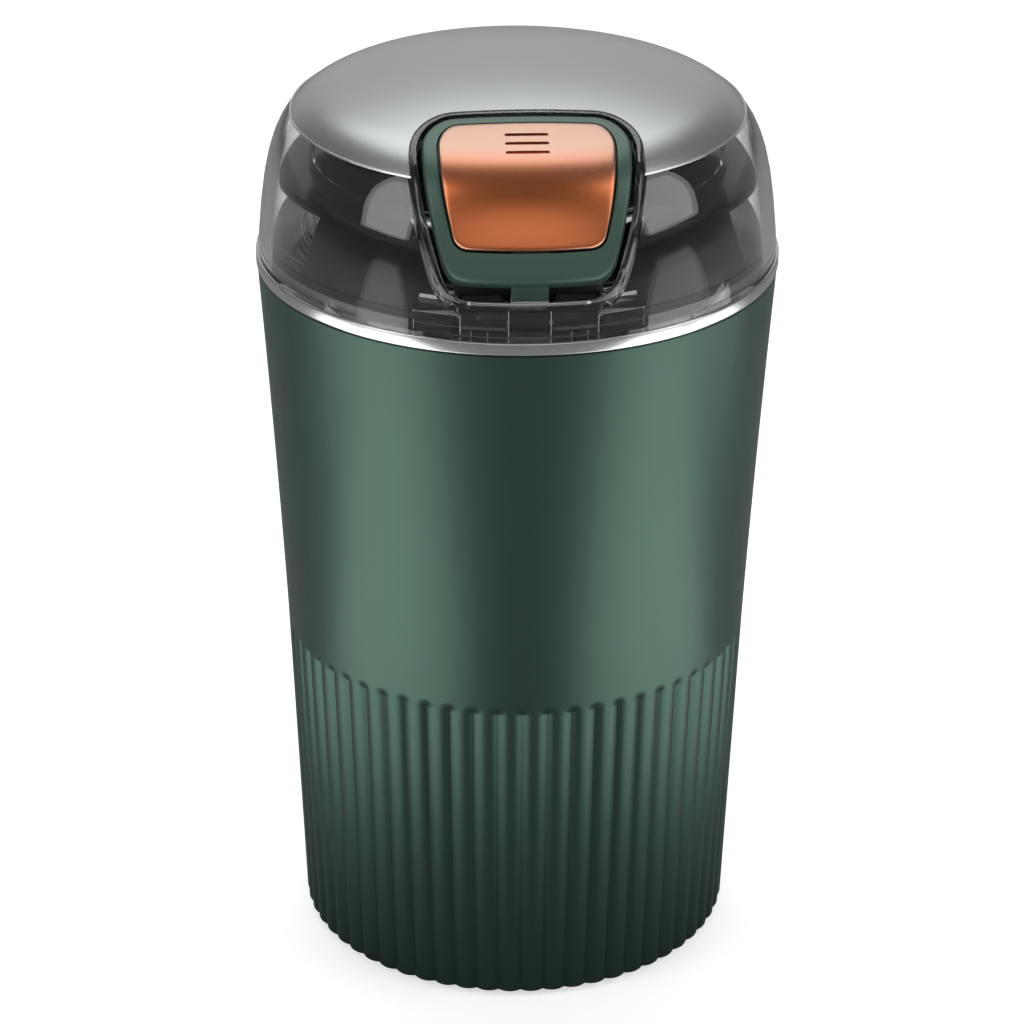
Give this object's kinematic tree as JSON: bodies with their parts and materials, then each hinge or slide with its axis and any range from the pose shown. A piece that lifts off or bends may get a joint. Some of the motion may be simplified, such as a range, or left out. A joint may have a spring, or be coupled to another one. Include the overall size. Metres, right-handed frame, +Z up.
{
  "type": "electric spice grinder",
  "caption": "Electric spice grinder: tapered fluted housing with motor, steel bowl with a two-winged blade, and a lift-off clear lid whose push lever closes the switch.",
  "frame": {"origin": "on the table, under the middle of the housing", "axes": "+Z up along the motor's axis, -Y towards the push lever at the front, +X to the right as seen from the front"},
  "size_m": [0.1004, 0.1005, 0.1805],
  "materials": {
    "green_lacquer": "satin",
    "polished_steel": "polished",
    "brushed_steel": "brushed",
    "black_plastic": "matte",
    "white_plastic": "matte",
    "green_plastic": "satin",
    "copper_plate": "satin",
    "satin_silver": "satin",
    "smoked_clear": "gloss",
    "lamination_steel": "rough",
    "copper_winding": "satin",
    "sintered_bronze": "satin",
    "carbon": "matte",
    "spring_steel": "satin",
    "zinc_screw": "satin",
    "black_rubber": "matte",
    "cast_alloy": "cast",
    "board_green": "matte"
  },
  "bodies": {
    "housing": {"body_housing": "green_lacquer", "trim_ring": "polished_steel", "bowl_carrier": "black_plastic", "grinding_bowl": "brushed_steel", "shaft_seal": "black_rubber", "stator_core": "lamination_steel", "upper_bracket": "cast_alloy", "lower_bracket": "cast_alloy", "upper_bush": "sintered_bronze", "lower_bush": "sintered_bronze", "thermal_cutout": "white_plastic", "plunger_spring": "spring_steel", "microswitch_case": "black_plastic", "base_cover": "black_plastic", "cord_gland": "black_rubber", "terminal_block": "white_plastic", "carrier_screws": "zinc_screw", "field_coils": "copper_winding", "brush_holders": "sintered_bronze", "carbon_brushes": "carbon", "brush_springs": "spring_steel", "motor_screws": "zinc_screw", "rubber_dampers": "black_rubber", "damper_screws": "zinc_screw", "switch_screws": "zinc_screw", "switch_terminals": "sintered_bronze", "base_screws": "zinc_screw", "rubber_feet": "black_rubber", "rectifier_board": "board_green"},
    "rotor": {"motor_shaft": "spring_steel", "armature_core": "lamination_steel", "armature_windings": "copper_winding", "commutator": "copper_winding", "cooling_fan": "black_plastic", "blade_washer": "zinc_screw", "grinding_blade": "brushed_steel", "blade_nut": "zinc_screw"},
    "lid": {"lid_shell": "smoked_clear", "top_cap": "satin_silver", "chamber_cover": "smoked_clear", "lid_gasket": "black_rubber", "button_cradle": "black_plastic", "hinge_pin": "spring_steel", "button_spring": "spring_steel", "cradle_screws": "zinc_screw"},
    "button": {"button_lever": "green_plastic", "button_pad": "copper_plate"},
    "plunger": {"plunger": "black_plastic"},
    "switch_lever": {"switch_lever": "spring_steel"},
    "switch_nub": {"switch_nub": "white_plastic"}
  },
  "joints": [
    {"name": "lid_lift", "type": "slide", "parent": "housing", "child": "lid", "axis": [0, 0, 1], "range_m": [0, 0.06]},
    {"name": "button_press", "type": "hinge", "parent": "lid", "child": "button", "pos_m": [0, -0.0205, 0.17115], "axis": [1, 0, 0], "range_deg": [0, 5], "stiffness_Nm_per_rad": 0.35, "springref_deg": -5.73, "deforming": ["button_spring"]},
    {"name": "plunger_slide", "type": "slide", "parent": "housing", "child": "plunger", "axis": [0, 0, -1], "range_m": [0, 0.0019], "deforming": ["plunger_spring"]},
    {"name": "switch_lever_turn", "type": "hinge", "parent": "housing", "child": "switch_lever", "pos_m": [0.0131, -0.0374, 0.0929], "axis": [0, -1, 0], "range_deg": [0, 7.2]},
    {"name": "switch_nub_slide", "type": "slide", "parent": "housing", "child": "switch_nub", "axis": [0, 0, -1], "range_m": [0, 0.0006]},
    {"name": "blade_spin", "type": "hinge", "parent": "housing", "child": "rotor", "pos_m": [0, 0, 0.06], "axis": [0, 0, 1], "continuous": true}
  ],
  "couplings": [
    {"joint": "plunger_slide", "follows": "button_press", "m_per_rad": 0.02177},
    {"joint": "switch_lever_turn", "follows": "button_press", "ratio": 1.4399},
    {"joint": "switch_nub_slide", "follows": "button_press", "m_per_rad": 0.006875}
  ]
}
